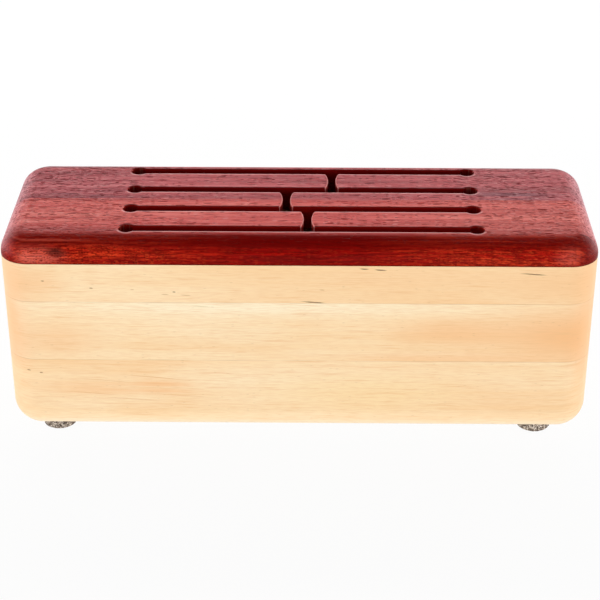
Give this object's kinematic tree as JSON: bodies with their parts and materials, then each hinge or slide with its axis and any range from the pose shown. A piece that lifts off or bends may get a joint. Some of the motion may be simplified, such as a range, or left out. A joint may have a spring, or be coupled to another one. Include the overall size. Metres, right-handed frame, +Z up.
{
  "type": "log drum",
  "caption": "Box-shaped wooden log drum on round feet: a hollow beech box with a slotted padouk sound plate, whose tongues differ in length and sound different notes when struck.",
  "frame": {"origin": "on the plane that the feet stand on, under the middle of the drum", "axes": "+X along the drum to the player's right, +Y from the front face to the back, +Z up out of the sound plate"},
  "size_m": [0.35, 0.115, 0.138],
  "materials": {
    "padouk_back": "satin, oiled, open pored, purple-red board",
    "padouk_front": "satin, oiled, open pored, orange-red board",
    "beech": "satin, clear lacquered, fine grained",
    "cork": "matte, granulated grey-brown cork rubber"
  },
  "bodies": {
    "drum_box": {"top_board_back": "padouk_back", "top_board_front": "padouk_front", "front_wall_lower_stave": "beech", "front_wall_middle_stave": "beech", "front_wall_upper_stave": "beech", "back_wall_lower_stave": "beech", "back_wall_middle_stave": "beech", "back_wall_upper_stave": "beech", "left_end_lower_stave": "beech", "left_end_middle_stave": "beech", "left_end_upper_stave": "beech", "right_end_lower_stave": "beech", "right_end_middle_stave": "beech", "right_end_upper_stave": "beech", "floor_board_back": "beech", "floor_board_front": "beech", "foot_front_left": "cork", "foot_front_right": "cork", "foot_back_left": "cork", "foot_back_right": "cork"},
    "back_left_tongue": {"tongue_back_left": "padouk_back"},
    "back_right_tongue": {"tongue_back_right": "padouk_back"},
    "middle_left_tongue": {"tongue_middle_left_back_strip": "padouk_back", "tongue_middle_left_front_strip": "padouk_front"},
    "middle_right_tongue": {"tongue_middle_right_back_strip": "padouk_back", "tongue_middle_right_front_strip": "padouk_front"},
    "front_left_tongue": {"tongue_front_left": "padouk_front"},
    "front_right_tongue": {"tongue_front_right": "padouk_front"}
  },
  "joints": [
    {"name": "back_left_tongue_bend", "type": "hinge", "parent": "drum_box", "child": "back_left_tongue", "pos_m": [-0.1006, 0.0266, 0.1305], "axis": [0, 1, 0], "range_deg": [-0.5, 0.5], "stiffness_Nm_per_rad": 20},
    {"name": "back_right_tongue_bend", "type": "hinge", "parent": "drum_box", "child": "back_right_tongue", "pos_m": [0.1034, 0.0266, 0.1305], "axis": [0, -1, 0], "range_deg": [-0.5, 0.5], "stiffness_Nm_per_rad": 20},
    {"name": "middle_left_tongue_bend", "type": "hinge", "parent": "drum_box", "child": "middle_left_tongue", "pos_m": [-0.1006, 0, 0.1305], "axis": [0, 1, 0], "range_deg": [-0.5, 0.5], "stiffness_Nm_per_rad": 20},
    {"name": "middle_right_tongue_bend", "type": "hinge", "parent": "drum_box", "child": "middle_right_tongue", "pos_m": [0.1034, 0, 0.1305], "axis": [0, -1, 0], "range_deg": [-0.5, 0.5], "stiffness_Nm_per_rad": 20},
    {"name": "front_left_tongue_bend", "type": "hinge", "parent": "drum_box", "child": "front_left_tongue", "pos_m": [-0.1006, -0.0266, 0.1305], "axis": [0, 1, 0], "range_deg": [-0.5, 0.5], "stiffness_Nm_per_rad": 20},
    {"name": "front_right_tongue_bend", "type": "hinge", "parent": "drum_box", "child": "front_right_tongue", "pos_m": [0.1034, -0.0266, 0.1305], "axis": [0, -1, 0], "range_deg": [-0.5, 0.5], "stiffness_Nm_per_rad": 20}
  ]
}
